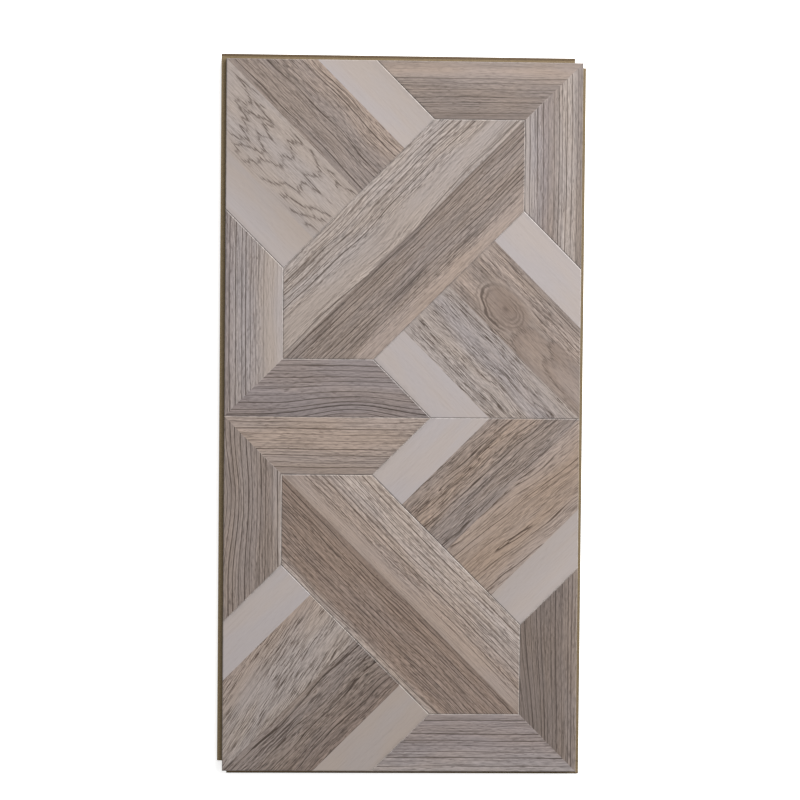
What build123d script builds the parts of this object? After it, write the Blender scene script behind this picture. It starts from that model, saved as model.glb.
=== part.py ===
"""Laminate floor plank with a click joint on four sides and a pressed parquet pattern.

Sizes are in millimetres. X runs across the plank, Y along it and Z up from the underside.
The origin is under the middle of the printed face. The plank is one board, so it is one solid.
"""

import os
from math import isclose

from build123d import *

os.makedirs("parts", exist_ok=True)

# The board and its printed face
face_width = 403.0
face_length = 806.0
thickness = 12.0
face_bevel = 0.6

# The click joint, the same height on the long and the short sides
upper_lip = 3.8
tongue_thickness = 4.9
tongue_reach = 6.0
tongue_tip_radius = 1.5
tongue_tip_flat = 0.2
heel_back = 0.6
ridge_height = 0.8
lip_reach = 4.2
lip_end_radius = 0.4
long_groove_depth = 9.0
short_groove_depth = 11.0
groove_back_radius = 1.0
fit_clearance = 0.1

# The V joints pressed into the face along the parquet pattern
joint_width = 1.8
joint_depth = 0.55
frame_strip = 65.5
band_leg = 102.5

# Heights of the click joint, worked down from the face
groove_ceiling = thickness - upper_lip
tongue_top = groove_ceiling - fit_clearance
tongue_bottom = tongue_top - tongue_thickness
groove_floor = tongue_bottom - fit_clearance
ridge_top = groove_floor + ridge_height
relief_top = ridge_top + fit_clearance

# The rounded nose under the tongue's tip, and the room for the next plank's lower lip
nose_radius = tongue_thickness - tongue_tip_radius - tongue_tip_flat
relief_depth = lip_reach + fit_clearance
ridge_foot = heel_back - fit_clearance


def milled_outline(face_span, groove_depth):
    """Corners and corner radii of the board cut across one pair of sides, tongue at the left.

    The tongue has a rounded nose and a heel under it. The groove's lower lip stands out past
    the face and ends in a ridge that catches behind the heel of the next plank's tongue.
    """
    left = -face_span / 2
    right = face_span / 2
    outline = [
        ((left + face_bevel, thickness), 0),
        ((left, thickness - face_bevel), 0),
        ((left, tongue_top), 0),
        ((left - tongue_reach, tongue_top), tongue_tip_radius),
        ((left - tongue_reach, tongue_bottom), nose_radius),
        ((left - heel_back, tongue_bottom), 0),
        ((left - heel_back + ridge_height, relief_top), 0),
        ((left + relief_depth, relief_top), 0),
        ((left + relief_depth, 0), 0),
        ((right + lip_reach, 0), 0),
        ((right + lip_reach, ridge_top), lip_end_radius),
        ((right - ridge_foot + ridge_height, ridge_top), 0),
        ((right - ridge_foot, groove_floor), 0),
        ((right - groove_depth, groove_floor), groove_back_radius),
        ((right - groove_depth, groove_ceiling), groove_back_radius),
        ((right, groove_ceiling), 0),
        ((right, thickness - face_bevel), 0),
        ((right - face_bevel, thickness), 0),
    ]
    return zip(*outline)


# One square tile of the pattern, from its middle: a diagonal band crosses a mitred frame.
# The mitres and the seam along the middle of the band are only printed.
half_tile_width = face_width / 2
half_tile_length = face_length / 4
inner_x = half_tile_width - frame_strip
inner_y = half_tile_length - frame_strip

frame_corner = (inner_x, inner_y)
band_at_top = (inner_x - band_leg, inner_y)
band_at_side = (inner_x, inner_y - band_leg)
cut_at_top = (inner_x - band_leg - frame_strip, half_tile_length)
cut_at_side = (half_tile_width, inner_y - band_leg - frame_strip)


def turned(point):
    """The point half a turn round the middle of the tile."""
    return (-point[0], -point[1])


frame_joints = [
    (band_at_top, frame_corner),
    (frame_corner, band_at_side),
    (band_at_top, cut_at_top),
    (band_at_side, cut_at_side),
]
band_joints = [
    (band_at_top, turned(band_at_side)),
    (band_at_side, turned(band_at_top)),
]
turned_joints = [(turned(start), turned(end)) for start, end in frame_joints]
tile_joints = frame_joints + turned_joints + band_joints

# The lower tile is the upper tile mirrored in the joint between them
face_joints = [((-half_tile_width, 0.0), (half_tile_width, 0.0))]
for start, end in tile_joints:
    for side in (1, -1):
        face_start = (start[0], side * (half_tile_length + start[1]))
        face_end = (end[0], side * (half_tile_length + end[1]))
        face_joints.append((face_start, face_end))


def overrun(point):
    """How far a V joint runs on past this end, so that it opens through the edge of the face."""
    at_long_side = isclose(abs(point[0]), face_width / 2)
    at_short_side = isclose(abs(point[1]), face_length / 2)
    return joint_width if at_long_side or at_short_side else 0.0


# The board as it is milled: the section of the long sides crossed with that of the short sides
long_side_corners, long_side_radii = milled_outline(face_width, long_groove_depth)
short_side_corners, short_side_radii = milled_outline(face_length, short_groove_depth)

with BuildPart() as plank:
    with BuildSketch(Plane.front):
        with BuildLine():
            FilletPolyline(*long_side_corners, radius=long_side_radii, close=True)
        make_face()
    extrude(amount=face_length, both=True)
    with BuildSketch(Plane.left):
        with BuildLine():
            FilletPolyline(*short_side_corners, radius=short_side_radii, close=True)
        make_face()
    extrude(amount=face_width, both=True, mode=Mode.INTERSECT)

    # Each tongue stops short of the groove that runs out past its end
    with BuildSketch(Plane.XY):
        with Locations((-face_width / 2 + relief_depth, -face_length / 2 + short_groove_depth)):
            Rectangle(2 * tongue_reach, 2 * short_groove_depth, align=(Align.MAX, Align.MAX))
        with Locations((face_width / 2 - long_groove_depth, face_length / 2 - relief_depth)):
            Rectangle(2 * long_groove_depth, 2 * tongue_reach, align=(Align.MIN, Align.MIN))
    extrude(amount=groove_ceiling, mode=Mode.SUBTRACT)

    # The V joints of the pattern
    for start, end in face_joints:
        run = Vector(*end) - Vector(*start)
        along = run.normalized()
        across = Vector(-along.Y, along.X, 0)
        first = Vector(*start, thickness) - along * overrun(start)
        with BuildSketch(Plane(origin=first, x_dir=across, z_dir=along)):
            with BuildLine():
                Polyline(
                    (-joint_width, joint_depth),
                    (0, -joint_depth),
                    (joint_width, joint_depth),
                    close=True,
                )
            make_face()
        extrude(amount=run.length + overrun(start) + overrun(end), mode=Mode.SUBTRACT)

plank.part.label = "plank"
export_step(plank.part, "parts/plank.step")
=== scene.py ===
"""Laminate floor plank on a white studio floor, seen from above.

The board comes from the CAD mesh. Its pressed and printed face is worked out here: each veneer
field of the parquet pattern is a grid that carries its own grain, growth rings and tones.
Lengths are in millimetres until a mesh is made, and in metres from there on.
"""

from math import radians

import bmesh
import bpy
import numpy as np
from mathutils import Euler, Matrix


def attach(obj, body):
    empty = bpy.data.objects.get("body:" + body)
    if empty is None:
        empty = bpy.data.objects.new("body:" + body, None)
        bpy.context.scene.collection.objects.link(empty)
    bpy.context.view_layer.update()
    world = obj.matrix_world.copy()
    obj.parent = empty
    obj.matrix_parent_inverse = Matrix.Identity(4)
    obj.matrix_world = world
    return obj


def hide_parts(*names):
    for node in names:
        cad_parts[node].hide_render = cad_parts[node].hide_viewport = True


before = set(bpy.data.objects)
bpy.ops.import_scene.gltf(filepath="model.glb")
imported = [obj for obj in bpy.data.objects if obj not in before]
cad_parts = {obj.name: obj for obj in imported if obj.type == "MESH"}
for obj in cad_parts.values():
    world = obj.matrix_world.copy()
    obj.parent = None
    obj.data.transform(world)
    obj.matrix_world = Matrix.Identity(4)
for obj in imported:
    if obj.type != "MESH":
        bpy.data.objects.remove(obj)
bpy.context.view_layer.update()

MM = 0.001

# The face and its pattern, as in the part's source
FACE_WIDTH = 403.0
FACE_LENGTH = 806.0
THICKNESS = 12.0
FACE_BEVEL = 0.6
JOINT_WIDTH = 1.8
HALF_JOINT = JOINT_WIDTH / 2
JOINT_DEPTH = 0.55
FRAME_STRIP = 65.5
BAND_LEG = 102.5

# How far a wide veneer reaches along a tile's edge, from the corner that two of them share
WIDE_VENEER_LEG = 102.5

# How finely each field is divided: out from the band, along a frame strip, over a veneer's width
ROWS_OUT = 84
ROWS_FRAME = 34
ROWS_WIDE = 52
ROWS_PALE = 10

# The fine emboss: its depth, the level of a ring's wave that it starts at, and how far from a joint
# it starts and is full
EMBOSS_DEPTH = 0.05
EMBOSS_LEVEL = 0.2
EMBOSS_FROM = 1.0
EMBOSS_FULL = 3.0

# How far a place may lie from where it is looked for, and steps in a millimetre for welding places
SLACK = 0.01
WELD_STEPS = 1000

# Edges that turn by more than this many degrees stay sharp on the face and on the board
FACE_SHARP = 12
BOARD_SHARP = 42

# A face whose normal has a part this large along one axis is square to that axis
SQUARE = 0.999

# Distances, in metres, at which the CAD mesh is merged and the pressed face told from its shoulder
MERGE = 1e-6
ABOVE_SHOULDER = 1e-5

# The bake map: the share of it that the face takes and where that starts, and the same across the
# underside's strip beside it
BAKE_SHARE = 0.98
BAKE_FROM = (0.005, 0.01)
UNDERSIDE_SHARE = 0.008
UNDERSIDE_FROM = 0.99

# How much of the light a printed tone sends back, how strong the painted highlight is along the
# joints' middle lines and how much darker their walls are painted, as painted shade
PRINT_DENSITY = 0.675
JOINT_HIGHLIGHT = 0.52
JOINT_SHADE = 0.24

# Shares of that painted highlight on the frames, on the band and between the tiles, and how far
# from its middle line a joint's or edge bevel's wall is painted darker as shade, in halves of its width
FRAME_HIGHLIGHT = 1.0
BAND_HIGHLIGHT = 0.3
MIDDLE_HIGHLIGHT = 0.6
WALL_END = 1.2

# How far out from the face, in metres, the darkening on the short sides starts and is full
END_DARK_FROM = 0.0022
END_DARK_FULL = 0.0036

# Tones of the printed veneers, as display colours
TONES = {
    "pale ash": (183, 173, 170),
    "pale sand": (177, 165, 158),
    "silver beige": (172, 160, 153),
    "warm beige": (170, 153, 142),
    "light sand": (184, 170, 161),
    "taupe": (150, 136, 128),
    "mid taupe": (142, 128, 120),
    "dark taupe": (130, 116, 108),
    "mid brown": (148, 129, 117),
    "brown": (138, 120, 109),
    "tan": (164, 144, 129),
    "lilac grey": (142, 130, 127),
    "mid lilac": (152, 140, 137),
    "light lilac": (165, 155, 152),
    # The joint highlight is no veneer's tone: it is the painted highlight along the joints' middle lines
    "joint highlight": (214, 204, 199),
}


def linear(display):
    """Display colour, 0 to 255, as linear light by the sRGB curve."""
    share = np.asarray(display, float) / 255
    return np.where(share <= 0.04045, share / 12.92, ((share + 0.055) / 1.055) ** 2.4)


# The pattern's corner points on one tile, from the tile's middle, X right and Y up
HALF_X = FACE_WIDTH / 2
HALF_Y = FACE_LENGTH / 4
INNER_X = HALF_X - FRAME_STRIP
INNER_Y = HALF_Y - FRAME_STRIP
TILE_CORNER = np.array((HALF_X, HALF_Y))
FRAME_CORNER = np.array((INNER_X, INNER_Y))
BAND_TOP = np.array((INNER_X - BAND_LEG, INNER_Y))
BAND_SIDE = np.array((INNER_X, INNER_Y - BAND_LEG))
CUT_TOP = np.array((INNER_X - BAND_LEG - FRAME_STRIP, HALF_Y))
CUT_SIDE = np.array((HALF_X, INNER_Y - BAND_LEG - FRAME_STRIP))
CROWN = np.array((-HALF_X, HALF_Y))
CROWN_TOP = np.array((-HALF_X + WIDE_VENEER_LEG, HALF_Y))
CROWN_SIDE = np.array((-HALF_X, HALF_Y - WIDE_VENEER_LEG))


def on_band(point):
    """Where a seam from this point, falling to the right at 45 degrees, meets the band's edge."""
    fall = (point[1] - point[0] - (BAND_TOP[1] - BAND_TOP[0])) / 2
    return point + fall * np.array((1.0, -1.0))


CROWN_FOOT = on_band(CROWN)
CROWN_TOP_FOOT = on_band(CROWN_TOP)
CROWN_SIDE_FOOT = on_band(CROWN_SIDE)

# The fields round the band: name, outer start, outer end, inner start, inner end, rows along it
FIELDS_ROUND_BAND = [
    ("top_frame", CUT_TOP, TILE_CORNER, BAND_TOP, FRAME_CORNER, ROWS_FRAME),
    ("side_frame", TILE_CORNER, CUT_SIDE, FRAME_CORNER, BAND_SIDE, ROWS_FRAME),
    ("pale_side", CUT_SIDE, -CROWN_SIDE, BAND_SIDE, -CROWN_SIDE_FOOT, ROWS_PALE),
    ("knot_veneer", -CROWN_SIDE, -CROWN, -CROWN_SIDE_FOOT, -CROWN_FOOT, ROWS_WIDE),
    ("dash_veneer", -CROWN, -CROWN_TOP, -CROWN_FOOT, -CROWN_TOP_FOOT, ROWS_WIDE),
    ("pale_foot", -CROWN_TOP, -CUT_TOP, -CROWN_TOP_FOOT, -BAND_TOP, ROWS_PALE),
    ("foot_frame", -CUT_TOP, -TILE_CORNER, -BAND_TOP, -FRAME_CORNER, ROWS_FRAME),
    ("back_frame", -TILE_CORNER, -CUT_SIDE, -FRAME_CORNER, -BAND_SIDE, ROWS_FRAME),
    ("pale_back", -CUT_SIDE, CROWN_SIDE, -BAND_SIDE, CROWN_SIDE_FOOT, ROWS_PALE),
    ("flame_veneer", CROWN_SIDE, CROWN, CROWN_SIDE_FOOT, CROWN_FOOT, ROWS_WIDE),
    ("streak_veneer", CROWN, CROWN_TOP, CROWN_FOOT, CROWN_TOP_FOOT, ROWS_WIDE),
    ("pale_top", CROWN_TOP, CUT_TOP, CROWN_TOP_FOOT, BAND_TOP, ROWS_PALE),
]
FRAME_FIELDS = ("top_frame", "side_frame", "foot_frame", "back_frame")

# The two halves of the band: name, upper end, and the seams' feet along it down to its other end
HALF_BANDS = [
    ("light_band", BAND_TOP, (CROWN_TOP_FOOT, CROWN_FOOT, CROWN_SIDE_FOOT, -BAND_SIDE)),
    ("dark_band", BAND_SIDE, (-CROWN_SIDE_FOOT, -CROWN_FOOT, -CROWN_TOP_FOOT, -BAND_TOP)),
]

# The V joints on one tile, each with the strength of its painted highlight; the other seams are only
# printed
HALF_JOINTS = [
    (BAND_TOP, FRAME_CORNER, FRAME_HIGHLIGHT),
    (FRAME_CORNER, BAND_SIDE, FRAME_HIGHLIGHT),
    (BAND_TOP, CUT_TOP, FRAME_HIGHLIGHT),
    (BAND_SIDE, CUT_SIDE, FRAME_HIGHLIGHT),
    (BAND_TOP, -BAND_SIDE, BAND_HIGHLIGHT),
]
TILE_JOINTS = HALF_JOINTS + [(-a, -b, highlight) for a, b, highlight in HALF_JOINTS]

# The inner part of each mitre shows as a faint pale line, a painted highlight; it is not pressed
MITRE_SHOWN = 0.42
MITRE_HIGHLIGHT = 0.4
MITRE_END = FRAME_CORNER + MITRE_SHOWN * (TILE_CORNER - FRAME_CORNER)
TILE_MITRES = [(FRAME_CORNER, MITRE_END), (-FRAME_CORNER, -MITRE_END)]


def on_face(points, side):
    """A tile's points on the face: the upper tile as it is, the lower one mirrored in the joint."""
    return np.stack([points[..., 0], side * (points[..., 1] + HALF_Y)], -1)


FACE_JOINTS = [(np.array((-HALF_X, 0.0)), np.array((HALF_X, 0.0)), MIDDLE_HIGHLIGHT)]
FACE_MITRES = []
for tile_side in (1, -1):
    for joint_start, joint_end, joint_highlight in TILE_JOINTS:
        FACE_JOINTS.append((on_face(joint_start, tile_side), on_face(joint_end, tile_side), joint_highlight))
    for mitre_start, mitre_end in TILE_MITRES:
        FACE_MITRES.append((on_face(mitre_start, tile_side), on_face(mitre_end, tile_side)))


def distance_to(points, start, end):
    """Distance from each point to the nearest place on a straight run."""
    run = end - start
    share = np.clip(((points - start) @ run) / (run @ run), 0, 1)
    return np.linalg.norm(points - start - share[..., None] * run, axis=-1)


def pressed_height(points):
    """Height of the pressed face, distance to its nearest joint or edge, and the painted highlight of the
    joint there.

    The face is level, less a V along each joint and a bevel along each edge. The V's depth falls
    evenly from its middle line to nothing at half the joint's width.
    """
    near = np.full(points.shape[:-1], np.inf)
    highlit = np.zeros(points.shape[:-1])
    for start, end, highlight in FACE_JOINTS:
        away = distance_to(points, start, end)
        near = np.minimum(near, away)
        highlit = np.maximum(highlit, highlight * np.clip(1 - away / HALF_JOINT, 0, 1))
    for start, end in FACE_MITRES:
        away = distance_to(points, start, end)
        highlit = np.maximum(highlit, MITRE_HIGHLIGHT * np.clip(1 - away / HALF_JOINT, 0, 1))
    v_height = THICKNESS - JOINT_DEPTH * np.clip(1 - near / HALF_JOINT, 0, 1)
    to_edge = np.minimum(FACE_WIDTH / 2 - abs(points[..., 0]), FACE_LENGTH / 2 - abs(points[..., 1]))
    bevel_height = THICKNESS - FACE_BEVEL + np.clip(to_edge, 0, FACE_BEVEL)
    return np.minimum(v_height, bevel_height), np.minimum(near, to_edge), highlit


def shares(length, rows):
    """Shares of a seam at which the grid meets it: the joint's half width in from each end."""
    step = HALF_JOINT / length
    return np.concatenate([[0.0], np.linspace(step, 1 - step, rows), [1.0]])


def blend_quad(corners, first, second, across):
    """Points of a four-cornered field: straight lines between two opposite sides.

    first and second are the shares along those sides, across the shares from one to the other.
    """
    a, b, c, d = corners
    low = a + first[:, None] * (b - a)
    high = d + second[:, None] * (c - d)
    return low[:, None] + across[None, :, None] * (high - low)[:, None]


def inset_quad(corners, by):
    """The field's corners moved in by this much from all four sides."""
    sides = np.roll(corners, -1, 0) - corners
    turn = np.sign(np.cross(sides[0], sides[1]))
    normals = turn * np.stack([-sides[:, 1], sides[:, 0]], 1)
    normals /= np.linalg.norm(normals, axis=1)[:, None]
    levels = (normals * corners).sum(1) + by
    pairs = np.stack([np.roll(normals, 1, 0), normals], 1)
    return np.linalg.solve(pairs, np.stack([np.roll(levels, 1), levels], 1)[..., None])[..., 0]


def field_grid(corners, first, second, left, right):
    """Grid of one field: its four sides on the seams, the rest inside the V joints' upper edges.

    corners go round the field; first and second are the shares along its two long sides, left
    and right those along the sides that join them.
    """
    corners = np.asarray(corners)
    inner = inset_quad(corners, HALF_JOINT)
    run = (first[1:-1] - first[1]) / (first[-2] - first[1])
    rise = (left[1:-1] - left[1]) / (left[-2] - left[1])
    a, b, c, d = corners
    grid = np.empty((len(first), len(left), 2))
    grid[1:-1, 1:-1] = blend_quad(inner, run, run, rise)
    grid[:, 0] = a + first[:, None] * (b - a)
    grid[:, -1] = d + second[:, None] * (c - d)
    grid[0] = a + left[:, None] * (d - a)
    grid[-1] = b + right[:, None] * (c - b)
    return grid


def length_of(start, end):
    """Distance between two points."""
    return float(np.linalg.norm(np.asarray(end) - start))


def tile_fields():
    """Grids of the fourteen fields of one tile, each with the side that its grain follows."""
    fields = {}
    for name, outer_a, outer_b, inner_a, inner_b, rows in FIELDS_ROUND_BAND:
        first = shares(length_of(inner_a, inner_b), rows)
        second = shares(length_of(outer_a, outer_b), rows)
        left = shares(length_of(inner_a, outer_a), ROWS_OUT)
        right = shares(length_of(inner_b, outer_b), ROWS_OUT)
        grid = field_grid((inner_a, inner_b, outer_b, outer_a), first, second, left, right)
        grain = (inner_a, inner_b) if name in FRAME_FIELDS else (inner_a, outer_a)
        fields[name] = (grid, grain, (inner_a + inner_b + outer_a + outer_b) / 4)
    for name, end, feet in HALF_BANDS:
        foot = feet[-1]
        along = [np.zeros(1)]
        start = end
        for stop, rows in zip(feet, (ROWS_PALE, ROWS_WIDE, ROWS_WIDE, ROWS_PALE)):
            reached = length_of(end, start) + shares(length_of(start, stop), rows) * length_of(start, stop)
            along.append(reached[1:] / length_of(end, foot))
            start = stop
        along = np.concatenate(along)
        across = shares(BAND_LEG, ROWS_FRAME)
        corners = (FRAME_CORNER, -FRAME_CORNER, foot, end)
        grid = field_grid(corners, along, along, across, across)
        fields[name] = (grid, (FRAME_CORNER, -FRAME_CORNER), (end + foot) / 2)
    return fields


# Waves in a ripple and the height that they reach together
WAVES = 5
WAVES_PEAK = 1.8

# How far across the grain a sway changes, and how uneven the rings are, over what distance
SWAY_WIDTH = 160.0
RING_UNEVEN = 0.3
RING_REACH = 34.0

# How far apart the fields lie in the grain's noise, and the tiles in their seeds
GRAIN_APART = 1000.0
SEEDS_APART = 20


def ripple(along, across, seed, reach, width):
    """Seeded sum of sine waves, each shorter and weaker than the last, about -1 to 1."""
    draw = np.random.default_rng(seed)
    total = np.zeros_like(along)
    for k in range(1, WAVES + 1):
        phase, bend, lean = draw.uniform(0, 2 * np.pi), draw.uniform(0.7, 1.3), draw.uniform(-1, 1)
        total += np.sin(2 * np.pi * (k * bend * along / reach + k * lean * across / width) + phase) / k
    return total / WAVES_PEAK


# The printed figure of each veneer, by field and tile. tones run across the field from the side
# that its grain follows; rings is the ring spacing and line the width of a ring's dark line, wave
# how far the rings sway, fray how far their lines wander in rings, gaps how much they break up,
# ink how dark they print, and dashes and streaks how strong the marks between them are. sway is
# the length of the longest wave. Some figures have more: lean is how far the fibres run across
# the field for each step along it, and hump where they are lifted, given as a share of the length,
# a reach, a height and the side that is lifted most. calm is a zone with little ink, in shares of
# the width, fade how far from the band the ink starts, and drawn the figure with listed lines.
PALE = dict(
    rings=9.0, line=1.0, wave=0.6, sway=420.0, fray=0.2, gaps=0.5, ink=0.0, dashes=0.0, streaks=0.1,
)
FRAME = dict(line=1.4, wave=0.8, sway=420.0, fray=0.16, gaps=0.25, ink=1.0, dashes=0.12, streaks=0.9)
BAND = dict(line=1.3, wave=1.6, sway=420.0, fray=0.3, gaps=0.35, ink=1.05, dashes=0.25, streaks=1.15)
VENEER = dict(line=1.35, wave=3.0, sway=220.0, fray=0.55, gaps=0.5, ink=0.9, dashes=0.55, streaks=1.2)
FIGURES = {
    ("top_frame", 1): dict(
        FRAME, tones=["dark taupe", "mid taupe", "mid taupe", "mid taupe", "taupe", "warm beige", "taupe"],
        rings=6.8, calm=(0.72, 1.05),
    ),
    ("side_frame", 1): dict(
        FRAME, tones=["silver beige", "light lilac", "mid lilac", "taupe", "silver beige", "silver beige",
                      "dark taupe"],
        rings=5.4,
    ),
    ("pale_side", 1): dict(PALE, tones=["pale ash", "pale ash"]),
    ("knot_veneer", 1): dict(
        VENEER, tones=["taupe", "warm beige", "taupe", "warm beige", "taupe"], rings=6.5, wave=0.0,
        dashes=0.6, drawn="knot", fade=9.0,
    ),
    ("dash_veneer", 1): dict(
        VENEER, tones=["silver beige", "light lilac", "silver beige", "silver beige"], rings=9.0, ink=0.5,
        wave=1.5, dashes=1.15, streaks=1.0, fade=9.0,
    ),
    ("pale_foot", 1): dict(PALE, tones=["pale ash", "pale ash"]),
    ("foot_frame", 1): dict(
        FRAME, tones=["mid lilac", "lilac grey", "mid lilac", "lilac grey", "lilac grey"], rings=7.2,
        ink=1.1, hump=(0.38, 55.0, 20.0, 1),
    ),
    ("back_frame", 1): dict(
        FRAME, tones=["pale ash", "pale sand", "silver beige", "light lilac", "light lilac", "light lilac",
                      "lilac grey"],
        rings=6.0, ink=1.05, calm=(-0.05, 0.36),
    ),
    ("pale_back", 1): dict(PALE, tones=["pale ash", "silver beige"]),
    ("flame_veneer", 1): dict(
        VENEER, tones=["silver beige", "pale sand", "silver beige"], rings=24.0, wave=0.0, ink=0.0,
        dashes=0.12, streaks=0.45, drawn="flame",
    ),
    ("streak_veneer", 1): dict(
        VENEER, tones=["taupe", "taupe", "warm beige"], rings=8.6, line=1.55, wave=1.6, fray=0.4,
        ink=1.15, streaks=1.1,
    ),
    ("pale_top", 1): dict(PALE, tones=["pale ash", "pale sand"]),
    ("light_band", 1): dict(
        BAND, tones=["silver beige", "silver beige", "silver beige", "silver beige", "pale sand"],
        rings=5.6, hump=(0.55, 60.0, 6.0, -1), wave=2.4, calm=(0.12, 0.40),
    ),
    ("dark_band", 1): dict(
        BAND, tones=["mid taupe", "taupe", "taupe", "taupe", "taupe", "warm beige", "warm beige"],
        rings=4.6, calm=(0.82, 1.05),
    ),
    ("top_frame", -1): dict(
        FRAME, tones=["mid lilac", "mid lilac", "light lilac"], rings=7.4,
    ),
    ("side_frame", -1): dict(
        FRAME, tones=["dark taupe", "dark taupe", "dark taupe", "taupe"], rings=6.0,
        hump=(0.10, 90.0, -22.0, -1),
    ),
    ("pale_side", -1): dict(PALE, tones=["pale ash", "pale sand"]),
    ("knot_veneer", -1): dict(
        VENEER, tones=["warm beige", "tan", "tan", "warm beige"], rings=9.0, line=1.3, wave=1.4, ink=1.05,
        dashes=0.65, streaks=0.65, lean=-0.10,
    ),
    ("dash_veneer", -1): dict(
        VENEER, tones=["taupe", "taupe", "tan", "taupe"], rings=9.0, line=1.7, wave=1.6, fray=0.9,
        ink=1.3, dashes=0.8, streaks=1.3, lean=-0.05,
    ),
    ("pale_foot", -1): dict(PALE, tones=["pale ash", "pale ash"]),
    ("foot_frame", -1): dict(FRAME, tones=["taupe", "warm beige", "warm beige"], rings=7.6, ink=1.1),
    ("back_frame", -1): dict(
        FRAME, tones=["pale sand", "mid taupe", "taupe", "taupe", "taupe", "taupe"], rings=6.0, ink=1.15,
        hump=(0.40, 50.0, 11.0, 1),
    ),
    ("pale_back", -1): dict(PALE, tones=["pale ash", "pale ash"]),
    ("flame_veneer", -1): dict(
        VENEER, tones=["warm beige", "silver beige", "silver beige"], rings=9.0, wave=1.0, ink=0.5,
        dashes=1.1, streaks=0.9, lean=0.2,
    ),
    ("streak_veneer", -1): dict(
        VENEER, tones=["taupe", "mid taupe", "brown"], rings=8.5, line=1.65, wave=1.6, fray=0.9,
        ink=1.3, dashes=0.7, streaks=1.4,
    ),
    ("pale_top", -1): dict(PALE, tones=["silver beige", "silver beige"]),
    ("light_band", -1): dict(
        BAND, tones=["brown", "mid brown", "mid brown", "mid brown", "mid brown", "mid brown",
                     "light sand"],
        rings=4.8, streaks=1.2,
    ),
    ("dark_band", -1): dict(
        BAND, tones=["warm beige", "warm beige", "light sand", "light sand"], rings=4.6,
        dashes=0.3, calm=(-0.05, 0.2),
    ),
}


# The flame's and the knot's drawn lines: places across and along the grain, in millimetres
FLAME_LINES = [
    [(43, 157), (47, 173), (52, 161), (58, 157), (62, 165), (67, 187), (70.5, 154)],
    [(15, 151), (19, 140), (26, 130), (30, 145), (34, 137), (38, 153), (41, 146), (44, 160), (52, 143),
     (58, 126), (60.5, 153), (65, 141)],
    [(5, 131), (12.5, 136), (21.5, 123), (26.5, 107), (31, 111), (38.5, 126), (45, 111), (50.5, 133),
     (56, 120), (60, 127)],
    [(4, 118), (10, 115), (14, 104), (21, 104), (26, 95), (30, 82), (34, 85), (40, 92), (47, 79), (57, 97),
     (62.5, 91), (65, 84), (69, 99)],
    [(4.5, 91), (10, 77), (18.5, 71), (22.5, 63), (25, 49), (30, 51), (35.5, 55), (41.5, 30), (43, 58),
     (54, 44), (61, 54), (69.5, 73)],
    [(7, 58), (13, 54), (18, 31), (24.5, 24), (33, 2)],
    [(58, 18), (63, 28), (67.5, 9.5), (70.5, 1)],
    [(63, 36), (65.5, 42), (69, 33)],
    [(3, 44), (7.5, 34), (14.5, 20), (24.5, 2)],
    [(3.5, 20), (9, 12), (10.5, 1)],
]
PLUME_FRONTS = [
    [(38, 101), (44, 96), (54, 93), (63, 92), (66, 98), (72, 110)],
    [(30, 133), (36, 124), (45, 141), (52, 137), (58, 137), (63, 154), (65.5, 173), (66.5, 200)],
]
KNOT_LINES = PLUME_FRONTS + [
    [(11.5, 1), (12, 20), (13.5, 49)],
    [(18, 1), (20, 25), (25, 49)],
    [(17, 82), (20, 100), (24, 117)],
]

# The knot: its middle along and across the grain, its reach across and how far it is drawn out
KNOT_ALONG = 65.0
KNOT_ACROSS = 45.0
KNOT_REACH = 19.8
KNOT_STRETCH = 0.58

# Rings inside the knot, how soon its brown is full inside its reach, and the reach of its heart
KNOT_ARCS = (14.5, 11.0, 7.5)
KNOT_RIM = 4.0
KNOT_HEART = 8.0

# Clear print round the knot: how far it reaches and how soon the lines come back
KNOT_CLEAR = 2.0
KNOT_EDGE = 5.0

# Beyond the front of a plume: how soon the brown is full and how far on it fades. Beside the plume,
# its front is too far off to be reached
PLUME_EDGE = 3.0
PLUME_FADE = 45.0
NO_FRONT = 1e3

# The ragged front where ink starts: its seed, the reach of its waves and how soon the ink is full
FRONT_SEED = 5
FRONT_REACH = 15.0
FRONT_EDGE = 6.0

# The least share of ink in a calm zone or before a front, and how soon a calm zone is calm
LEAST_INK = 0.15
CALM_EDGE = 8.0

# The finishes of the face: most fields wear the first, and a drawn figure has its own
PRINTS = ["printed_decor", "flame", "knot"]

# The width and length that the drawn lines are measured against
DRAWN_WIDTH = WIDE_VENEER_LEG / 2**0.5
DRAWN_LENGTH = 220.0


def knot_radius(along, across):
    """Distance from the knot's middle, with the run along the grain drawn in."""
    return np.hypot((along - KNOT_ALONG) * KNOT_STRETCH, across - KNOT_ACROSS)


def in_plume(along, across):
    """1 just beyond the front of a brown plume, fading away along the grain; 0 before it."""
    share = np.zeros_like(along)
    for front in PLUME_FRONTS:
        places, reaches = np.transpose(front)
        beyond = along - np.interp(across, places, reaches, left=NO_FRONT, right=NO_FRONT)
        fading = np.exp(-np.clip(beyond, 0, None) / PLUME_FADE)
        share = np.maximum(share, np.clip(beyond / PLUME_EDGE, 0, 1) * fading)
    return share


def grain_flow(figure, along, across, span, seed):
    """Where the fibres run: distance across the grain, swayed by waves and lifted by a hump.

    A hump lifts the fibres in a bell curve along the grain, most at one side of the field. Some
    strips are cut aslant, so that their fibres lean across them.
    """
    length, width = span
    flow = across - figure.get("lean", 0.0) * along
    flow = flow + figure["wave"] * ripple(along, across, seed, figure["sway"], SWAY_WIDTH)
    if "hump" in figure:
        place, reach, lift, side = figure["hump"]
        share = np.clip(across / width, 0, 1)
        weight = share**2 if side > 0 else (1 - share) ** 2
        flow = flow + lift * weight * np.exp(-(((along - place * length) / reach) ** 2))
    return flow


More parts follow.
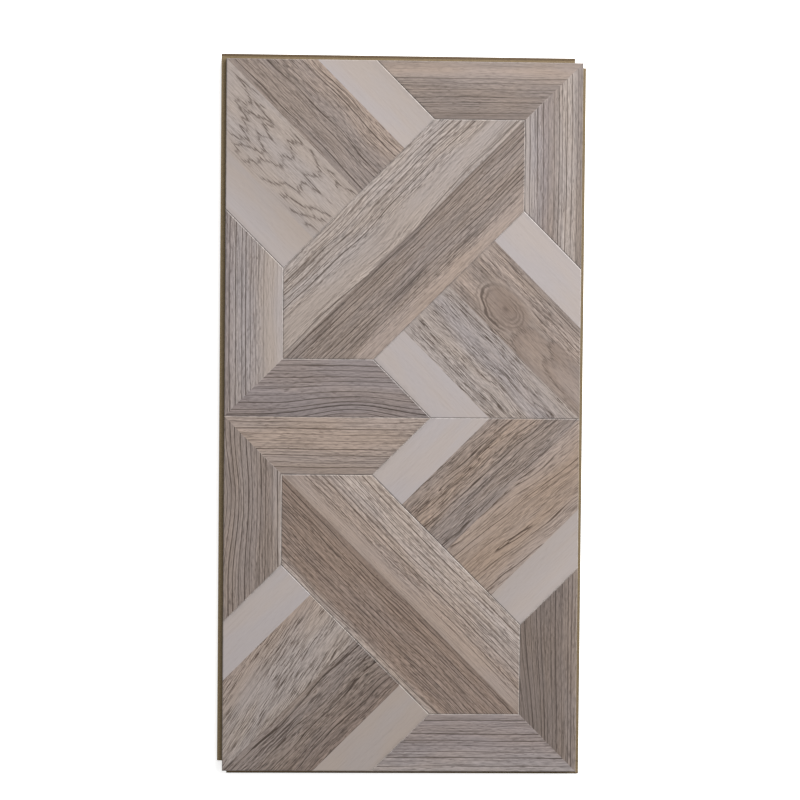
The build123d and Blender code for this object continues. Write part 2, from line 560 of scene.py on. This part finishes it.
def growth_rings(figure, along, across, span, seed):
    """Growth rings crossed at each point: they lie across the fibres at an uneven spacing."""
    flow = grain_flow(figure, along, across, span, seed)
    uneven = RING_UNEVEN * ripple(flow, np.zeros_like(along), seed + 1, RING_REACH, 1.0)
    return flow / figure["rings"] + uneven


def ring_steepness(figure, along, across, span, seed):
    """Rings crossed in a millimetre, by small steps along and across the grain."""
    step = 0.3
    here = growth_rings(figure, along, across, span, seed)
    on = growth_rings(figure, along + step, across, span, seed)
    aside = growth_rings(figure, along, across + step, span, seed)
    return np.hypot(on - here, aside - here) / step


def ink_left(figure, along, across, width):
    """Share of the ring lines' and dashes' ink at each point.

    None is left in the knot and little in a plume beyond it or in a calm zone. Where the grain
    fades towards the band, it starts at a ragged front.
    """
    left = np.ones_like(along)
    if "fade" in figure:
        ragged = ripple(across, np.zeros_like(across), FRONT_SEED, FRONT_REACH, 1.0)
        front = figure["fade"] * (0.55 + 0.45 * ragged)
        left = np.clip((along - front) / FRONT_EDGE + 0.5, LEAST_INK, 1.0)
    if figure.get("drawn") == "knot":
        outside = knot_radius(along, across) - KNOT_REACH - KNOT_CLEAR
        left = left * np.clip(outside / KNOT_EDGE, 0, 1)
        left = left * (1 - np.clip(3 * in_plume(along, across), 0, 0.9))
    if "calm" in figure:
        low, high = (edge * width for edge in figure["calm"])
        inside = np.minimum(across - low, high - across)
        left = left * np.clip(0.6 - inside / CALM_EDGE, LEAST_INK, 1.0)
    return left


def ground_tone(figure, along, across, width):
    """Colour of the print between its lines: the tones, blended across, browner in a knot."""
    stops = PRINT_DENSITY * np.array([linear(TONES[tone]) for tone in figure["tones"]])
    share = np.clip(across / width, 0, 1) * (len(stops) - 1)
    ground = np.stack([np.interp(share, np.arange(len(stops)), stop) for stop in stops.T], -1)
    if figure.get("drawn") == "knot":
        radius = knot_radius(along, across)
        disc = np.clip((KNOT_REACH + 1.0 - radius) / KNOT_RIM, 0, 1)
        heart = np.exp(-((radius / KNOT_HEART) ** 2))
        inside = np.maximum(0.6 * disc + 0.4 * heart, 0.7 * in_plume(along, across))[..., None]
        ground = ground * (1 - inside) + PRINT_DENSITY * linear(TONES["brown"]) * inside
    return ground


def figure_of(name, side, points, grain, middle, seed):
    """What is printed at each point of a field: rings, grain coordinates, ground and strengths."""
    figure = FIGURES[name, side]
    start, end = (np.asarray(p, float) for p in grain)
    along_way = (end - start) / length_of(start, end)
    across_way = np.array((-along_way[1], along_way[0]))
    across_way = across_way * np.sign((middle - start) @ across_way)
    along = (points - start) @ along_way
    across = (points - start) @ across_way
    along = along - along.min()
    span = (along.max(), across.max())
    rings = growth_rings(figure, along, across, span, seed)
    even = np.ones_like(rings)
    share = figure["line"] * ring_steepness(figure, along, across, span, seed)
    left = ink_left(figure, along, across, span[1])
    streaks = figure["streaks"] * (0.4 + 0.6 * left)
    return {
        "rings": rings,
        "ground": ground_tone(figure, along, across, span[1]),
        "lines": np.stack([figure["ink"] * left, share, figure["fray"] * even], -1),
        "marks": np.stack([figure["dashes"] * left, streaks, figure["gaps"] * even], -1),
        "drawn": np.stack([along, across, np.zeros_like(along)], -1),
        "grain": np.stack([along + GRAIN_APART * seed, grain_flow(figure, along, across, span, seed)], -1),
    }


def grid_quads(points):
    """Four-cornered faces over a grid of points, with their corners in order and facing up."""
    rows, columns = points.shape[:2]
    index = np.arange(rows * columns).reshape(rows, columns)
    quads = np.stack([index[:-1, :-1], index[1:, :-1], index[1:, 1:], index[:-1, 1:]], -1)
    quads = quads.reshape(-1, 4)
    corners = points.reshape(-1, 2)[quads]
    turn = np.cross(corners[:, 2] - corners[:, 0], corners[:, 3] - corners[:, 1]).sum()
    return quads[:, ::-1] if turn < 0 else quads


def pressed_field(name, side, grid, grain, middle, seed):
    """One field of the face: its places, its faces and what is printed at each place.

    Height is the pressed height less a shallow emboss that follows the growth rings' lines. Walls
    are painted darker as painted shade, and the joints' middle lines pale as a painted highlight.
    """
    field = figure_of(name, side, grid, grain, middle, seed)
    points = on_face(grid, side)
    height, clear, highlit = pressed_height(points)
    line = np.clip(np.cos(2 * np.pi * field["rings"]) - EMBOSS_LEVEL, 0, 1)
    embossed = np.clip((clear - EMBOSS_FROM) / (EMBOSS_FULL - EMBOSS_FROM), 0, 1)
    height = height - EMBOSS_DEPTH * field["lines"][..., 0] * line * embossed
    field["wall"] = np.clip(WALL_END - clear / HALF_JOINT, 0, 1)
    # Painted shade darkens the joints' and edges' walls; a painted highlight pales the joints' middle
    # lines
    shaded = field["ground"] * (1 - JOINT_SHADE * field["wall"][..., None])
    highlight = JOINT_HIGHLIGHT * highlit[..., None]
    field["ground"] = shaded * (1 - highlight) + PRINT_DENSITY * linear(TONES["joint highlight"]) * highlight
    field["clear"] = clear
    places = np.concatenate([points, height[..., None]], -1).reshape(-1, 3)
    prints = {key: value.reshape(len(places), -1) for key, value in field.items()}
    return places, grid_quads(points), prints


def carry_print(mesh, prints, corner, pressed):
    """Put what is printed into the mesh, by face corner, with no lines or dashes on pressed faces."""
    for key, kind, store in (
        ("rings", "FLOAT", "value"),
        ("wall", "FLOAT", "value"),
        ("ground", "FLOAT_VECTOR", "vector"),
        ("lines", "FLOAT_VECTOR", "vector"),
        ("marks", "FLOAT_VECTOR", "vector"),
        ("drawn", "FLOAT_VECTOR", "vector"),
    ):
        layer = mesh.attributes.new(key, kind, "CORNER")
        values = prints[key][corner]
        if key in ("lines", "marks"):
            values[pressed, 0] = 0.0
        layer.data.foreach_set(store, values.astype(np.float32).ravel())


def lay_maps(mesh, places, grain, corner, below):
    """The bake map, with the face laid out flat and its underside drawn in, and the grain map.

    below is how many corners, the last ones, the underside has.
    """
    spread = (places[:, :2] / (FACE_WIDTH, FACE_LENGTH) + 0.5) * BAKE_SHARE + BAKE_FROM
    spread = spread[corner]
    across = places[corner[-below:], 0] / FACE_WIDTH + 0.5
    spread[-below:, 0] = UNDERSIDE_FROM + UNDERSIDE_SHARE * across
    for name, place in (("OFBake", spread), ("grain", grain[corner])):
        layer = mesh.uv_layers.new(name=name)
        layer.uv.foreach_set("vector", place.astype(np.float32).ravel())


def pressed_face():
    """The decor face as one thin sheet: every field's grid, welded along the seams, closed below."""
    places, quads, finishes, prints = [], [], [], []
    offset = 0
    for side in (1, -1):
        for number, (name, (grid, grain, middle)) in enumerate(tile_fields().items()):
            seed = number + SEEDS_APART * (side + 2)
            field_places, field_quads, field_prints = pressed_field(name, side, grid, grain, middle, seed)
            places.append(field_places)
            quads.append(field_quads + offset)
            finish = PRINTS.index(FIGURES[name, side].get("drawn", PRINTS[0]))
            finishes.append(np.full(len(field_quads), finish))
            prints.append(field_prints)
            offset += len(field_places)
    places, quads = np.concatenate(places), np.concatenate(quads)
    prints = {key: np.concatenate([field[key] for field in prints]) for key in prints[0]}
    steps = np.round(places[:, :2] * WELD_STEPS).astype(np.int64)
    _, first, weld = np.unique(steps, axis=0, return_index=True, return_inverse=True)
    welded, faces = places[first], weld.ravel()[quads]
    turn = np.arctan2(welded[:, 1] / FACE_LENGTH, welded[:, 0] / FACE_WIDTH)
    rim = np.flatnonzero(welded[:, 2] < THICKNESS - FACE_BEVEL + SLACK)
    rim = rim[np.argsort(-turn[rim])]
    mesh = bpy.data.meshes.new("decor_face")
    mesh.from_pydata((welded * MM).tolist(), [], faces.tolist() + [rim.tolist()])
    mesh.polygons.foreach_set("material_index", np.append(np.concatenate(finishes), 0))
    corner = np.concatenate([quads.ravel(), first[rim]])
    pressed = np.repeat(prints["clear"][quads, 0].max(1) < HALF_JOINT + SLACK, 4)
    pressed = np.append(pressed, np.ones(len(rim), bool))
    carry_print(mesh, prints, corner, pressed)
    lay_maps(mesh, places, prints["grain"], corner, len(rim))
    mesh.update()
    mesh.validate()
    mesh.set_sharp_from_angle(angle=radians(FACE_SHARP))
    return bpy.data.objects.new("decor_face", mesh)


def milled_board():
    """The board below its pressed face: the CAD mesh, merged, with the face taken off and closed.

    Faces square to the axes are flats and shaded flat, so that only the rounded noses and lips
    are smooth.
    """
    mesh = bpy.data.meshes.new("board")
    shape = bmesh.new()
    shape.from_mesh(bpy.data.objects["plank"].data)
    bmesh.ops.remove_doubles(shape, verts=shape.verts, dist=MERGE)
    shoulder = (THICKNESS - FACE_BEVEL) * MM + ABOVE_SHOULDER
    face = [f for f in shape.faces if f.calc_center_median().z > shoulder]
    bmesh.ops.delete(shape, geom=face, context="FACES")
    bmesh.ops.holes_fill(shape, edges=shape.edges, sides=0)
    shape.to_mesh(mesh)
    shape.free()
    mesh.set_sharp_from_angle(angle=radians(BOARD_SHARP))
    normals = np.empty((len(mesh.polygons), 3), np.float32)
    mesh.polygons.foreach_get("normal", normals.ravel())
    mesh.polygons.foreach_set("use_smooth", abs(normals).max(1) < SQUARE)
    return bpy.data.objects.new("board", mesh)


class Term:
    """A shader socket that takes part in sums, products and powers as a number does."""

    def __init__(self, finish, socket):
        self.finish = finish
        self.socket = socket

    def _math(self, operation, first, second):
        return self.finish.node("ShaderNodeMath", {"operation": operation}, {0: first, 1: second})

    def __add__(self, other):
        return self._math("ADD", self, other)

    def __radd__(self, other):
        return self._math("ADD", other, self)

    def __sub__(self, other):
        return self._math("SUBTRACT", self, other)

    def __rsub__(self, other):
        return self._math("SUBTRACT", other, self)

    def __mul__(self, other):
        return self._math("MULTIPLY", self, other)

    def __rmul__(self, other):
        return self._math("MULTIPLY", other, self)

    def __truediv__(self, other):
        return self._math("DIVIDE", self, other)

    def __pow__(self, other):
        return self._math("POWER", self, other)

    def __abs__(self):
        return self._math("ABSOLUTE", self, 0.0)

    def larger(self, other):
        return self._math("MAXIMUM", self, other)

    def fract(self):
        return self._math("FRACT", self, 0.0)

    def floor(self):
        return self._math("FLOOR", self, 0.0)

    def rise(self, low, high):
        """0 below low, 1 above high and smooth between."""
        settings = {"interpolation_type": "SMOOTHSTEP"}
        inputs = {"Value": self, "From Min": low, "From Max": high, "To Min": 0.0, "To Max": 1.0}
        return self.finish.node("ShaderNodeMapRange", settings, inputs)


class Finish:
    """One material's node tree and the shader at its end."""

    def __init__(self, name):
        self.material = bpy.data.materials.new(name)
        self.material.use_nodes = True
        self.tree = self.material.node_tree
        self.shader = self.tree.nodes["Principled BSDF"]

    def put(self, socket, value):
        """Link a term to a socket, or set the socket to a value."""
        if isinstance(value, Term):
            self.tree.links.new(value.socket, socket)
        else:
            socket.default_value = value

    def node(self, kind, settings, inputs, output=0):
        """Add a node, set it up, fill its sockets and give back one of its outputs."""
        made = self.tree.nodes.new(kind)
        for setting, value in settings.items():
            if setting == "curve":
                self.bend(made.mapping, value)
            else:
                setattr(made, setting, value)
        for socket, value in inputs.items():
            self.put(made.inputs[socket], value)
        return Term(self, made.outputs[output])

    def bend(self, mapping, points):
        """Straight runs through these points, as the curve of a Float Curve node."""
        curve = mapping.curves[0]
        curve.points[0].location = points[0]
        curve.points[1].location = points[-1]
        for point in points[1:-1]:
            curve.points.new(*point)
        for point in curve.points:
            point.handle_type = "VECTOR"
        mapping.update()

    def feed(self, **sockets):
        """Values or links for the shader's sockets, with spaces written as underscores."""
        for socket, value in sockets.items():
            self.put(self.shader.inputs[socket.replace("_", " ")], value)

    def carried(self, name, output="Vector"):
        """What the mesh carries under this name, as a vector or, from Fac, as a number."""
        return self.node("ShaderNodeAttribute", {"attribute_name": name}, {}, output)

    def split(self, vector):
        """The three numbers of a vector."""
        return [self.node("ShaderNodeSeparateXYZ", {}, {0: vector}, k) for k in range(3)]

    def place(self, x, y, z=0.0):
        """A vector made of three numbers."""
        return self.node("ShaderNodeCombineXYZ", {}, {0: x, 1: y, 2: z})

    def noise(self, place, scale, detail=2.0, roughness=0.5):
        """Cloud noise from 0 to 1."""
        inputs = {"Vector": place, "Scale": scale, "Detail": detail, "Roughness": roughness}
        return self.node("ShaderNodeTexNoise", {}, inputs)

    def tint(self, factor, first, second, mode="MIX"):
        """Mix of two colours."""
        settings = {"data_type": "RGBA", "blend_type": mode}
        return self.node("ShaderNodeMix", settings, {0: factor, 6: first, 7: second}, 2)

    def bump(self, height, distance):
        """Fine relief, its height in metres at a height of one."""
        inputs = {"Height": height, "Distance": distance, "Strength": 1.0}
        self.feed(Normal=self.node("ShaderNodeBump", {}, inputs))


# Noise in the print: length along and width across the grain, in millimetres
FRAY = (70.0, 10.0)
BREAK = (40.0, 3.0)
BUSY = (60.0, 13.0)
THREAD = (85.0, 2.0)
DASH = (22.0, 1.0)
PORE = (9.0, 1.1)
BROAD = (130.0, 6.0)
FIBRE = (30.0, 2.0)
FINE = (9.0, 1.2)
HUE = (110.0, 26.0)

# The noise at which each of these starts to show and shows in full
BREAK_SHOWN = (0.35, 0.58)
BUSY_SHOWN = (0.37, 0.56)
THREAD_SHOWN = (0.55, 0.62)
DASH_SHOWN = (0.56, 0.595)
PORE_SHOWN = (0.56, 0.63)
HUE_SHOWN = (0.35, 0.65)
WALL_SHADE_SHOWN = (0.4, 0.6)
FLECK_SHOWN = (0.3, 0.7)

# How dark the marks print, and how far the rest lightens or darkens the ground
DASH_INK = 0.85
THREAD_INK = 0.5
PORE_INK = 0.5
FLAME_INK = 0.9
KNOT_LINE_INK = 0.65
KNOT_INK = 0.85
BROAD_SHADE = 0.45
FIBRE_SHADE = 0.55
FINE_SHADE = 1.05
EARLY_SHADE = 0.06
FRINGE_SHADE = 0.07
# WALL_SHADE is painted shade: how much darker the joints' walls are in patches
WALL_SHADE = 0.3

# Drawn lines: their strokes, the waves that throw them along the grain and how far, in the
# same way, the share of the width over which their ends fade, and the reach of core and hatching
STROKE = (11.0, 1.5)
THROW = (50.0, 2.4)
THROWN = 17.0
FADED_END = 0.02
DRAWN_CORE = (0.35, 1.2)
DRAWN_HATCH = (1.0, 4.5)

# The knot's outline: the waves that it drifts by, where they start, its roughness, and how far each goes
DRIFT = (24.0, 14.0)
DRIFT_START = 50.0
DRIFTED = 8.0
ROUGH = (5.0, 3.0)
ROUGHENED = 1.6

# Set apart by this, a ring's number gives its line's width another draw than its line's weight
SECOND_DRAW = 31.7

# What the dark ink leaves of the print's light, and the two sides that its hue goes to
INK_TINT = (0.21, 0.165, 0.135, 1.0)
WARM_TINT = (1.02, 1.0, 0.97, 1.0)
COOL_TINT = (0.985, 0.997, 1.02, 1.0)

# The milled board's fibres, patches, darker short ends and backing paper, in linear light
FIBRE_DARK = (0.11, 0.077, 0.036, 1.0)
FIBRE_PALE = (0.21, 0.152, 0.08, 1.0)
PATCH_TONE = (0.15, 0.11, 0.056, 1.0)
END_DARK_TINT = (0.5, 0.42, 0.34, 1.0)
PAPER_DARK = (0.42, 0.33, 0.23, 1.0)
PAPER_PALE = (0.50, 0.41, 0.30, 1.0)

# Heights, in metres, up to which the backing paper is full and at which it ends
PAPER_FULL = 0.00012
PAPER_END = 0.0002

# Flecks, patches and patches of painted wall shade in a metre, and the depth of the fine relief in metres
FLECKS = 900.0
PATCHES = 60.0
WALL_SHADE_PATCHES = 130.0
PRINT_RELIEF = 0.00006
BOARD_RELIEF = 0.00005

# Roughness of the satin print, the milled board and the floor
SATIN = 0.44
MILLED = 0.72
MATT = 0.9


def drawn_ink(decor, lines):
    """Ink of the drawn lines: ragged along the grain and darkest where they run with it.

    A line's distance is taken along the grain and divided by its steepness.
    """
    reach, side, _ = decor.split(decor.carried("drawn"))
    span = side / DRAWN_WIDTH
    step = 0.4

    def thrown(aside):
        """How far a line is thrown along the grain, this far beside a place."""
        spot = decor.place(reach / THROW[0], (side + aside) / THROW[1])
        return (decor.noise(spot, 1.0, 1.0) - 0.5) * THROWN

    throw = thrown(0.0)
    more = (thrown(step) - throw) / step
    strokes = decor.noise(decor.place(reach / STROKE[0], side / STROKE[1]), 1.0, 1.0)
    broken = strokes.rise(0.38, 0.52) * 0.55 + 0.45
    hatch = strokes.rise(0.52, 0.6)
    darkest = None
    for points in lines:
        curve = [(x / DRAWN_WIDTH, y / DRAWN_LENGTH) for x, y in points]
        low, high = curve[0][0], curve[-1][0]
        here = decor.node("ShaderNodeFloatCurve", {"curve": curve}, {"Value": span})
        beyond = decor.node("ShaderNodeFloatCurve", {"curve": curve}, {"Value": span + step / DRAWN_WIDTH})
        slope = (beyond - here) * (DRAWN_LENGTH / step) + more
        away = abs(reach - here * DRAWN_LENGTH - throw) / (slope * slope + 1.0) ** 0.5
        ink = (1.0 - away.rise(*DRAWN_CORE)) * (abs(slope).rise(0.2, 3.0) * 0.55 + 0.45) * broken
        ink = ink.larger((1.0 - away.rise(*DRAWN_HATCH)) * (hatch * 0.4 + 0.1))
        ink = ink * span.rise(low, low + FADED_END) * (1.0 - span.rise(high - FADED_END, high))
        darkest = ink if darkest is None else darkest.larger(ink)
    return darkest


def knot_ink(decor):
    """Ink of the knot: a bold outline on the shaded side, arcs on the far side and a dark heart."""
    reach, side, _ = decor.split(decor.carried("drawn"))
    drift = decor.noise(decor.place(reach / DRIFT[0] + DRIFT_START, side / DRIFT[1]), 1.0) - 0.5
    rough = decor.noise(decor.place(reach / ROUGH[0], side / ROUGH[1]), 1.0) - 0.5
    run = (reach - KNOT_ALONG) * KNOT_STRETCH
    off = side - KNOT_ACROSS
    radius = (run * run + off * off) ** 0.5 + drift * DRIFTED + rough * ROUGHENED

    def line_round(at, half):
        """Ink of a line round the knot at this distance."""
        return 1.0 - abs(radius - at).rise(0.3 * half, half)

    lee = (off * 0.9 - run * 0.2).rise(-10.0, 13.0)
    far = run.rise(-8.0, 6.0)
    near = 1.0 - run.rise(2.0, 15.0) * 0.85
    ink = line_round(KNOT_REACH, 1.7) * (lee * 0.75 + 0.25) * near
    ink = ink.larger(line_round(KNOT_REACH - 3.6, 1.3) * lee * near * 0.6)
    ink = ink.larger(line_round(KNOT_REACH + 4.0, 1.2) * lee * near * 0.4)
    for at in KNOT_ARCS:
        ink = ink.larger(line_round(at, 1.3) * far * 0.4)
    return ink.larger((1.0 - radius.rise(0.8, 4.0)) * 0.6)


def printed_decor(name):
    """Printed veneer under a satin seal: ring lines, streaks and dashes over each field's tone."""
    decor = Finish(name)
    along, flow, _ = decor.split(decor.node("ShaderNodeUVMap", {"uv_map": "grain"}, {}))
    rings = decor.carried("rings", "Fac")
    wall = decor.carried("wall", "Fac")
    ground = decor.carried("ground")
    ink, line_share, fray = decor.split(decor.carried("lines"))
    dashes, streaks, gaps = decor.split(decor.carried("marks"))

    def marks(size, detail=2.0, roughness=0.5):
        """Noise drawn out along the grain, with this length and width."""
        length, width = size
        return decor.noise(decor.place(along / length, flow / width), 1.0, detail, roughness)

    # The ring lines: a dark core with a soft halo, a pale fringe beside it and paler wood after it
    frayed = rings + (marks(FRAY) - 0.5) * fray * 2.0
    ring = frayed.floor()
    heavy = decor.node("ShaderNodeTexWhiteNoise", {"noise_dimensions": "1D"}, {"W": ring})
    wide = decor.node("ShaderNodeTexWhiteNoise", {"noise_dimensions": "1D"}, {"W": ring + SECOND_DRAW})
    width = line_share * (wide * 0.8 + 0.6)
    passed = frayed.fract()
    left = 1.0 - passed
    core = (1.0 - left.rise(0.5 * width, width)) * left.rise(0.0, 0.15 * width)
    halo = (1.0 - left.rise(0.0, 3.0 * width)) * (1.0 - gaps) * 0.2
    fringe = left.rise(width, 1.3 * width) * (1.0 - left.rise(1.6 * width, 2.4 * width)) * ink
    kept = 1.0 - gaps * (1.0 - marks(BREAK).rise(*BREAK_SHOWN))
    line = (core * (heavy * 0.6 + 0.45) + halo * heavy) * kept * ink
    early = (1.0 - passed.rise(0.0, 0.4)) * ink

    # Between the lines: threads, dashes and pores, crowded in places, and the fibres' light and shade
    busy = marks(BUSY).rise(*BUSY_SHOWN)
    thread = marks(THREAD).rise(*THREAD_SHOWN) * streaks * (busy * 0.5 + 0.5)
    dash = marks(DASH, 1.0).rise(*DASH_SHOWN) * busy * dashes
    pore = marks(PORE, 1.0).rise(*PORE_SHOWN) * streaks * (busy * 0.5 + 0.5)
    broad = marks(BROAD, 3.0, 0.6) - 0.5
    fibre = marks(FIBRE, 2.0, 0.6) - 0.5
    fine = marks(FINE, 1.0) - 0.5
    fibres = broad * BROAD_SHADE + fibre * FIBRE_SHADE + fine * FINE_SHADE
    shade = 1.0 + fibres * streaks + early * EARLY_SHADE + fringe * FRINGE_SHADE
    # Painted shade: the walls of the joints and edge bevels darker in patches
    spot = decor.node("ShaderNodeTexCoord", {}, {}, "Object")
    wall_shade_patches = decor.noise(spot, WALL_SHADE_PATCHES).rise(*WALL_SHADE_SHOWN)
    shade = shade * (1.0 - wall * wall_shade_patches * WALL_SHADE)

    # The ground in its shades and hues, darkened where it is marked
    hue = marks(HUE).rise(*HUE_SHOWN)
    warm = decor.tint(hue, WARM_TINT, COOL_TINT)
    colour = decor.tint(1.0, ground, decor.place(shade, shade, shade), "MULTIPLY")
    colour = decor.tint(1.0, colour, warm, "MULTIPLY")
    dark = decor.tint(1.0, colour, INK_TINT, "MULTIPLY")
    bare = (1.0 - line) * (1.0 - dash * DASH_INK) * (1.0 - thread * THREAD_INK) * (1.0 - pore * PORE_INK)
    if name == "flame":
        bare = bare * (1.0 - drawn_ink(decor, FLAME_LINES) * FLAME_INK)
    if name == "knot":
        bare = bare * (1.0 - drawn_ink(decor, KNOT_LINES) * KNOT_LINE_INK)
        bare = bare * (1.0 - knot_ink(decor) * KNOT_INK)
    mark = 1.0 - bare
    colour = decor.tint(mark, colour, dark)
    decor.feed(Base_Color=colour, Roughness=SATIN + mark * 0.15 + wall * 0.22)
    decor.bump(fibre * 0.3 - mark * 0.6, PRINT_RELIEF)
    return decor.material


def bare_fibreboard():
    """Milled fibreboard: brown, flecked with paler and darker fibres; paper backing underneath."""
    board = Finish("bare_fibreboard")
    spot = board.node("ShaderNodeTexCoord", {}, {}, "Object")
    fleck = board.noise(spot, FLECKS, 3.0, 0.7)
    patch = board.noise(spot, PATCHES)
    _, lengthwise, height = board.split(spot)
    paper = 1.0 - height.rise(PAPER_FULL, PAPER_END)
    colour = board.tint(fleck.rise(*FLECK_SHOWN), FIBRE_DARK, FIBRE_PALE)
    colour = board.tint(patch * 0.5, colour, PATCH_TONE)
    # Darker beyond the face on the short sides
    beyond = abs(lengthwise) - FACE_LENGTH * MM / 2
    darker_end = beyond.rise(END_DARK_FROM, END_DARK_FULL)
    colour = board.tint(darker_end, colour, board.tint(1.0, colour, END_DARK_TINT, "MULTIPLY"))
    sheet = board.tint(patch, PAPER_DARK, PAPER_PALE)
    colour = board.tint(paper, colour, sheet)
    board.feed(Base_Color=colour, Roughness=MILLED + fleck * 0.15)
    board.bump(fleck, BOARD_RELIEF)
    return board.material


decor_face = pressed_face()
board = milled_board()
finishes = ((decor_face, [printed_decor(name) for name in PRINTS]), (board, [bare_fibreboard()]))
for piece, materials in finishes:
    bpy.context.scene.collection.objects.link(piece)
    for material in materials:
        piece.data.materials.append(material)
    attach(piece, "root")
    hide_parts("plank")


# The studio, in metres: floor, soft box, sky and camera
FLOOR_REACH = 150.0
FLOOR_WHITE = (0.93, 0.93, 0.93, 1.0)
FLOOR_GLOW = 0.55
SOFT_BOX_PLACE = (1.98, 1.98, 1.60)
SOFT_BOX_LENGTH = 5.5
SOFT_BOX_WIDTH = 1.1
SOFT_BOX_WATTS = 286.0
SKY_STRENGTH = 0.49
WHITE = (1.0, 1.0, 1.0, 1.0)
CAMERA_PLACE = (-0.0479, 0.0575, 1.7735)

# The camera's turns about X, Y and Z in degrees, and its lens and sensor in millimetres
CAMERA_TURNS = (-1.232, -1.455, 0.515)
CAMERA_LENS = 70.0
CAMERA_SENSOR = 36.0


def studio():
    """White floor, a long soft box at the far right, an even white sky and the camera."""
    scene = bpy.context.scene
    ground = bpy.data.meshes.new("floor")
    signs = ((-1, -1), (1, -1), (1, 1), (-1, 1))
    ground.from_pydata([(x * FLOOR_REACH, y * FLOOR_REACH, 0) for x, y in signs], [], [(0, 1, 2, 3)])
    floor = bpy.data.objects.new("floor", ground)
    scene.collection.objects.link(floor)
    white = Finish("white_floor")
    white.feed(Base_Color=FLOOR_WHITE, Roughness=MATT)
    white.feed(Emission_Color=WHITE, Emission_Strength=FLOOR_GLOW)
    ground.materials.append(white.material)
    lamp = bpy.data.lights.new("soft_box", "AREA")
    lamp.shape = "RECTANGLE"
    lamp.size = SOFT_BOX_LENGTH
    lamp.size_y = SOFT_BOX_WIDTH
    lamp.energy = SOFT_BOX_WATTS
    box = bpy.data.objects.new("soft_box", lamp)
    box.location = SOFT_BOX_PLACE
    box.rotation_euler = (-box.location).to_track_quat("-Z", "Y").to_euler()
    scene.collection.objects.link(box)
    sky = bpy.data.worlds.new("sky")
    sky.use_nodes = True
    sky.node_tree.nodes["Background"].inputs["Color"].default_value = WHITE
    sky.node_tree.nodes["Background"].inputs["Strength"].default_value = SKY_STRENGTH
    scene.world = sky
    scene.view_settings.view_transform = "Standard"
    lens = bpy.data.cameras.new("camera")
    lens.lens = CAMERA_LENS
    lens.sensor_width = CAMERA_SENSOR
    camera = bpy.data.objects.new("camera", lens)
    camera.location = CAMERA_PLACE
    camera.rotation_euler = Euler([radians(turn) for turn in CAMERA_TURNS], "XYZ")
    scene.collection.objects.link(camera)
    scene.camera = camera


studio()
